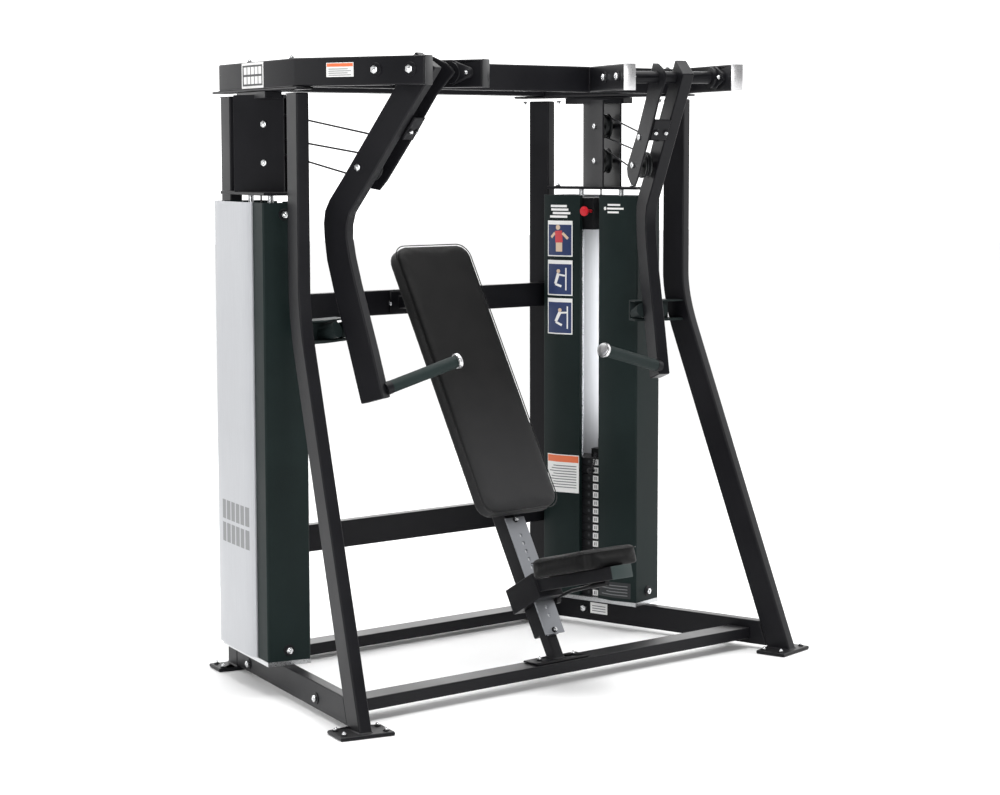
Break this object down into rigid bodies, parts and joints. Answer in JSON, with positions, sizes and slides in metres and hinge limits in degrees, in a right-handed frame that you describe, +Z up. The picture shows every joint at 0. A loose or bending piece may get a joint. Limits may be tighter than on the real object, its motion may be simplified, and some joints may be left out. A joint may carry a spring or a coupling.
{
  "type": "chest press machine",
  "caption": "Converging chest press: two independent swing arms lift two weight stacks through cables; reclined back pad and height-adjustable seat on a welded frame.",
  "frame": {"origin": "on the floor, at the middle of the machine's footprint box", "axes": "+Z up; the user sits facing -Y, which is the front; +X is to the right when looking at the machine from the front"},
  "size_m": [1.9814, 1.2615, 2],
  "materials": {
    "frame_black": "black semi-gloss powder coat",
    "shroud_green": "dark green-black textured powder coat",
    "panel_silver": "pale silver satin paint",
    "guide_steel": "bright bar and plate",
    "stack_iron": "black painted",
    "knob_red": "moulded red",
    "pin_steel": "bright",
    "pulley_black": "moulded nylon",
    "grip_rubber": "ribbed dark rubber",
    "stop_rubber": "black rubber on a painted bracket",
    "cable_black": "nylon-coated wire rope",
    "rail_zinc": "zinc plated, satin",
    "lever_black": "black dipped rod",
    "pad_vinyl": "black upholstery vinyl"
  },
  "bodies": {
    "frame": {"base_beam_l": "frame_black", "base_beam_r": "frame_black", "front_upright_l": "frame_black", "front_upright_r": "frame_black", "rear_upright_l": "frame_black", "rear_upright_r": "frame_black", "outer_beam_l": "frame_black", "outer_beam_r": "frame_black", "shroud_front_l": "shroud_green", "shroud_front_r": "shroud_green", "shroud_rear_l": "shroud_green", "shroud_rear_r": "shroud_green", "outer_panel_l": "panel_silver", "outer_panel_r": "panel_silver", "stack_frame_l": "guide_steel", "stack_frame_r": "guide_steel", "plate_stack_l": "stack_iron", "plate_stack_r": "stack_iron", "addon_weight_l": "stack_iron", "addon_weight_r": "stack_iron", "pulley_hanger_l": "frame_black", "pulley_hanger_r": "frame_black", "rest_stop_l": "stop_rubber", "rest_stop_r": "stop_rubber", "cable_span_l": "cable_black", "cable_span_r": "cable_black", "cable_drop_l": "cable_black", "cable_drop_r": "cable_black", "front_cross_beam": "frame_black", "rear_cross_beam": "frame_black", "upper_cross_tube": "frame_black", "lower_cross_tube": "frame_black", "base_cross_rear": "frame_black", "base_cross_front": "frame_black", "seat_post": "frame_black", "pad_board": "frame_black", "back_pad": "pad_vinyl", "seat_rail": "rail_zinc"},
    "arm_l": {"press_arm_l": "frame_black", "hand_grip_l": "grip_rubber"},
    "head_l": {"stack_head_l": "stack_iron"},
    "pin_l": {"selector_pin_l": "pin_steel"},
    "knob_l": {"addon_knob_l": "knob_red"},
    "pulley_upper_l": {"pulley_upper_l": "pulley_black"},
    "pulley_lower_l": {"pulley_lower_l": "pulley_black"},
    "pulley_arm_l": {"pulley_arm_l": "pulley_black"},
    "arm_r": {"press_arm_r": "frame_black", "hand_grip_r": "grip_rubber"},
    "head_r": {"stack_head_r": "stack_iron"},
    "pin_r": {"selector_pin_r": "pin_steel"},
    "knob_r": {"addon_knob_r": "knob_red"},
    "pulley_upper_r": {"pulley_upper_r": "pulley_black"},
    "pulley_lower_r": {"pulley_lower_r": "pulley_black"},
    "pulley_arm_r": {"pulley_arm_r": "pulley_black"},
    "seat": {"seat_carriage": "frame_black", "seat_pad": "pad_vinyl"},
    "lever": {"seat_lever": "lever_black"}
  },
  "joints": [
    {"name": "arm_swing_l", "type": "hinge", "parent": "frame", "child": "arm_l", "pos_m": [-0.51018, -0.29847, 1.943], "axis": [-0.9336, -0.3584, 0], "range_deg": [0, 30], "deforming": ["cable_span_l"]},
    {"name": "stack_lift_l", "type": "slide", "parent": "frame", "child": "head_l", "axis": [0, 0, 1], "range_m": [0, 0.492], "deforming": ["cable_drop_l"]},
    {"name": "pin_pull_l", "type": "slide", "parent": "head_l", "child": "pin_l", "axis": [0.9744, -0.2248, 0], "range_m": [0, 0.075]},
    {"name": "addon_pull_l", "type": "slide", "parent": "frame", "child": "knob_l", "axis": [0.9744, -0.2248, 0], "range_m": [0, 0.012], "stiffness_N_per_m": 600, "springref_m": -0.006},
    {"name": "pulley_upper_spin_l", "type": "hinge", "parent": "frame", "child": "pulley_upper_l", "pos_m": [-0.70942, 0.23453, 1.7885], "axis": [-0.9336, -0.3584, 0], "continuous": true},
    {"name": "pulley_lower_spin_l", "type": "hinge", "parent": "frame", "child": "pulley_lower_l", "pos_m": [-0.70942, 0.23453, 1.668], "axis": [-0.9336, -0.3584, 0], "continuous": true},
    {"name": "pulley_arm_spin_l", "type": "hinge", "parent": "arm_l", "child": "pulley_arm_l", "pos_m": [-0.57862, -0.10622, 1.655], "axis": [-0.9336, -0.3584, 0], "continuous": true},
    {"name": "arm_swing_r", "type": "hinge", "parent": "frame", "child": "arm_r", "pos_m": [0.51018, -0.29847, 1.943], "axis": [-0.9336, 0.3584, 0], "range_deg": [0, 30], "deforming": ["cable_span_r"]},
    {"name": "stack_lift_r", "type": "slide", "parent": "frame", "child": "head_r", "axis": [0, 0, 1], "range_m": [0, 0.492], "deforming": ["cable_drop_r"]},
    {"name": "pin_pull_r", "type": "slide", "parent": "head_r", "child": "pin_r", "axis": [-0.9744, -0.2248, 0], "range_m": [0, 0.075]},
    {"name": "addon_pull_r", "type": "slide", "parent": "frame", "child": "knob_r", "axis": [-0.9744, -0.2248, 0], "range_m": [0, 0.012], "stiffness_N_per_m": 600, "springref_m": -0.006},
    {"name": "pulley_upper_spin_r", "type": "hinge", "parent": "frame", "child": "pulley_upper_r", "pos_m": [0.70942, 0.23453, 1.7885], "axis": [-0.9336, 0.3584, 0], "continuous": true},
    {"name": "pulley_lower_spin_r", "type": "hinge", "parent": "frame", "child": "pulley_lower_r", "pos_m": [0.70942, 0.23453, 1.668], "axis": [-0.9336, 0.3584, 0], "continuous": true},
    {"name": "pulley_arm_spin_r", "type": "hinge", "parent": "arm_r", "child": "pulley_arm_r", "pos_m": [0.57862, -0.10622, 1.655], "axis": [-0.9336, 0.3584, 0], "continuous": true},
    {"name": "seat_slide", "type": "slide", "parent": "frame", "child": "seat", "axis": [0, 0.5, 0.866], "range_m": [-0.06, 0.15]},
    {"name": "lever_lift", "type": "hinge", "parent": "seat", "child": "lever", "pos_m": [0.057, -0.255, 0.252], "axis": [-1, 0, 0], "range_deg": [0, 8], "stiffness_Nm_per_rad": 3, "springref_deg": -8.59}
  ],
  "couplings": [
    {"joint": "stack_lift_l", "follows": "arm_swing_l", "m_per_rad": 0.934},
    {"joint": "pulley_upper_spin_l", "follows": "arm_swing_l", "ratio": -8.193},
    {"joint": "pulley_lower_spin_l", "follows": "arm_swing_l", "ratio": -24.579},
    {"joint": "pulley_arm_spin_l", "follows": "arm_swing_l", "ratio": 16.386},
    {"joint": "stack_lift_r", "follows": "arm_swing_r", "m_per_rad": 0.934},
    {"joint": "pulley_upper_spin_r", "follows": "arm_swing_r", "ratio": -8.193},
    {"joint": "pulley_lower_spin_r", "follows": "arm_swing_r", "ratio": -24.579},
    {"joint": "pulley_arm_spin_r", "follows": "arm_swing_r", "ratio": 16.386}
  ]
}
